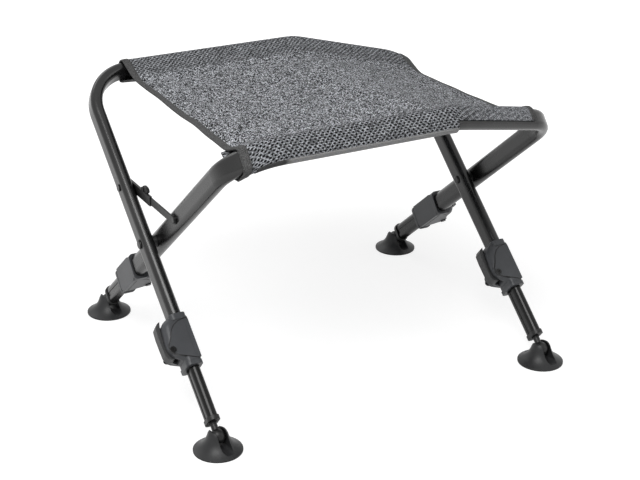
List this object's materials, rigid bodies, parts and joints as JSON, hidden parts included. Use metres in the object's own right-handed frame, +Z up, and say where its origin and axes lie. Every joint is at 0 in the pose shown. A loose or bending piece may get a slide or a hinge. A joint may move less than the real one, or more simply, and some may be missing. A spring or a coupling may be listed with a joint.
{
  "type": "camp stool",
  "caption": "Folding camp stool with crossed oval-tube frames, a woven fabric seat, telescopic clamped legs and swivelling disc feet.",
  "frame": {"origin": "centre of the bounding box in plan, on the floor under the feet", "axes": "+X along the rails, towards the end where the seat slopes down; +Y towards the rear rail; +Z up"},
  "size_m": [0.551, 0.4618, 0.3838],
  "materials": {
    "frame_paint": "satin dark grey powder coat",
    "inner_tube": "gloss black",
    "rivet": "black oxide",
    "clamp_plastic": "fine grained nylon",
    "lever_plastic": "fine grained nylon",
    "black_plastic": "moulded",
    "foot_plastic": "moulded",
    "strut_metal": "satin",
    "mesh_fabric": "woven mesh",
    "seat_fabric": "melange weave",
    "binding": "ribbed tape",
    "hem": "ribbed tape"
  },
  "bodies": {
    "frame_a": {"frame_a_tube": "frame_paint", "main_pivot_rivets": "rivet", "pivot_spacers": "black_plastic", "strut_guide_rivet": "rivet", "clamp_housing_a_left": "clamp_plastic", "clamp_housing_a_right": "clamp_plastic", "clamp_pins_a": "rivet", "rear_sleeve": "mesh_fabric", "rear_sleeve_bindings": "binding", "seat_panel": "seat_fabric", "seat_binding_left": "binding", "seat_binding_right": "binding"},
    "frame_b": {"frame_b_tube": "frame_paint", "strut_bar_rivet": "rivet", "strut_washer": "rivet", "clamp_housing_b_left": "clamp_plastic", "clamp_housing_b_right": "clamp_plastic", "clamp_pins_b": "rivet", "front_sleeve": "mesh_fabric", "front_sleeve_bindings": "binding", "front_hem_tape": "hem"},
    "strut_guide": {"strut_guide": "strut_metal"},
    "strut_catch": {"strut_catch": "black_plastic"},
    "strut_bar": {"strut_bar": "strut_metal"},
    "leg_a_left": {"inner_tube_a_left": "inner_tube", "slide_bush_a_left": "black_plastic", "end_plug_a_left": "black_plastic"},
    "stud_a_left": {"ball_stud_a_left": "black_plastic"},
    "foot_a_left": {"foot_a_left": "foot_plastic"},
    "lever_a_left": {"clamp_lever_a_left": "lever_plastic"},
    "leg_a_right": {"inner_tube_a_right": "inner_tube", "slide_bush_a_right": "black_plastic", "end_plug_a_right": "black_plastic"},
    "stud_a_right": {"ball_stud_a_right": "black_plastic"},
    "foot_a_right": {"foot_a_right": "foot_plastic"},
    "lever_a_right": {"clamp_lever_a_right": "lever_plastic"},
    "leg_b_left": {"inner_tube_b_left": "inner_tube", "slide_bush_b_left": "black_plastic", "end_plug_b_left": "black_plastic"},
    "stud_b_left": {"ball_stud_b_left": "black_plastic"},
    "foot_b_left": {"foot_b_left": "foot_plastic"},
    "lever_b_left": {"clamp_lever_b_left": "lever_plastic"},
    "leg_b_right": {"inner_tube_b_right": "inner_tube", "slide_bush_b_right": "black_plastic", "end_plug_b_right": "black_plastic"},
    "stud_b_right": {"ball_stud_b_right": "black_plastic"},
    "foot_b_right": {"foot_b_right": "foot_plastic"},
    "lever_b_right": {"clamp_lever_b_right": "lever_plastic"}
  },
  "joints": [
    {"name": "fold", "type": "hinge", "parent": "frame_a", "child": "frame_b", "pos_m": [0, 0, 0.1883], "axis": [-1, 0, 0], "range_deg": [0, 82], "deforming": ["seat_panel", "seat_binding_left", "seat_binding_right"]},
    {"name": "strut_guide_turn", "type": "hinge", "parent": "frame_a", "child": "strut_guide", "pos_m": [0, 0.06263, 0.24123], "axis": [-1, 0, 0], "range_deg": [0, 41]},
    {"name": "strut_bar_turn", "type": "hinge", "parent": "frame_b", "child": "strut_bar", "pos_m": [0, -0.06263, 0.24123], "axis": [-1, 0, 0], "range_deg": [-41, 0]},
    {"name": "catch_lift", "type": "hinge", "parent": "strut_guide", "child": "strut_catch", "pos_m": [0, 0.02563, 0.24998], "axis": [-1, 0, 0], "range_deg": [0, 8], "stiffness_Nm_per_rad": 0.02},
    {"name": "leg_slide_a_left", "type": "slide", "parent": "frame_a", "child": "leg_a_left", "axis": [0, -0.7638, -0.6455], "range_m": [-0.045, 0.045]},
    {"name": "lever_a_left", "type": "hinge", "parent": "frame_a", "child": "lever_a_left", "pos_m": [-0.267, -0.11533, 0.09084], "axis": [0, -0.6455, 0.7638], "range_deg": [0, 40]},
    {"name": "foot_swivel_a_left", "type": "hinge", "parent": "leg_a_left", "child": "stud_a_left", "pos_m": [-0.2455, -0.20093, 0.0185], "axis": [0, 0.7638, 0.6455], "continuous": true},
    {"name": "foot_tilt_a_left", "type": "hinge", "parent": "stud_a_left", "child": "foot_a_left", "pos_m": [-0.2455, -0.20093, 0.0185], "axis": [-0.9781, -0.2079, 0], "range_deg": [-15, 50]},
    {"name": "leg_slide_a_right", "type": "slide", "parent": "frame_a", "child": "leg_a_right", "axis": [0, -0.7638, -0.6455], "range_m": [-0.045, 0.045]},
    {"name": "lever_a_right", "type": "hinge", "parent": "frame_a", "child": "lever_a_right", "pos_m": [0.203, -0.11533, 0.09084], "axis": [0, -0.6455, 0.7638], "range_deg": [0, 40]},
    {"name": "foot_swivel_a_right", "type": "hinge", "parent": "leg_a_right", "child": "stud_a_right", "pos_m": [0.2245, -0.20093, 0.0185], "axis": [0, 0.7638, 0.6455], "continuous": true},
    {"name": "foot_tilt_a_right", "type": "hinge", "parent": "stud_a_right", "child": "foot_a_right", "pos_m": [0.2245, -0.20093, 0.0185], "axis": [-0.9781, -0.2079, 0], "range_deg": [-15, 50]},
    {"name": "leg_slide_b_left", "type": "slide", "parent": "frame_b", "child": "leg_b_left", "axis": [0, 0.7638, -0.6455], "range_m": [-0.045, 0.045]},
    {"name": "lever_b_left", "type": "hinge", "parent": "frame_b", "child": "lever_b_left", "pos_m": [-0.203, 0.11533, 0.09084], "axis": [0, 0.6455, 0.7638], "range_deg": [0, 40]},
    {"name": "foot_swivel_b_left", "type": "hinge", "parent": "leg_b_left", "child": "stud_b_left", "pos_m": [-0.2245, 0.20093, 0.0185], "axis": [0, -0.7638, 0.6455], "continuous": true},
    {"name": "foot_tilt_b_left", "type": "hinge", "parent": "stud_b_left", "child": "foot_b_left", "pos_m": [-0.2245, 0.20093, 0.0185], "axis": [0.9781, 0.2079, 0], "range_deg": [-15, 50]},
    {"name": "leg_slide_b_right", "type": "slide", "parent": "frame_b", "child": "leg_b_right", "axis": [0, 0.7638, -0.6455], "range_m": [-0.045, 0.045]},
    {"name": "lever_b_right", "type": "hinge", "parent": "frame_b", "child": "lever_b_right", "pos_m": [0.267, 0.11533, 0.09084], "axis": [0, 0.6455, 0.7638], "range_deg": [0, 40]},
    {"name": "foot_swivel_b_right", "type": "hinge", "parent": "leg_b_right", "child": "stud_b_right", "pos_m": [0.2455, 0.20093, 0.0185], "axis": [0, -0.7638, 0.6455], "continuous": true},
    {"name": "foot_tilt_b_right", "type": "hinge", "parent": "stud_b_right", "child": "foot_b_right", "pos_m": [0.2455, 0.20093, 0.0185], "axis": [0.9781, 0.2079, 0], "range_deg": [-15, 50]}
  ],
  "couplings": [
    {"joint": "strut_guide_turn", "follows": "fold", "ratio": 0.5},
    {"joint": "strut_bar_turn", "follows": "fold", "ratio": -0.5}
  ]
}
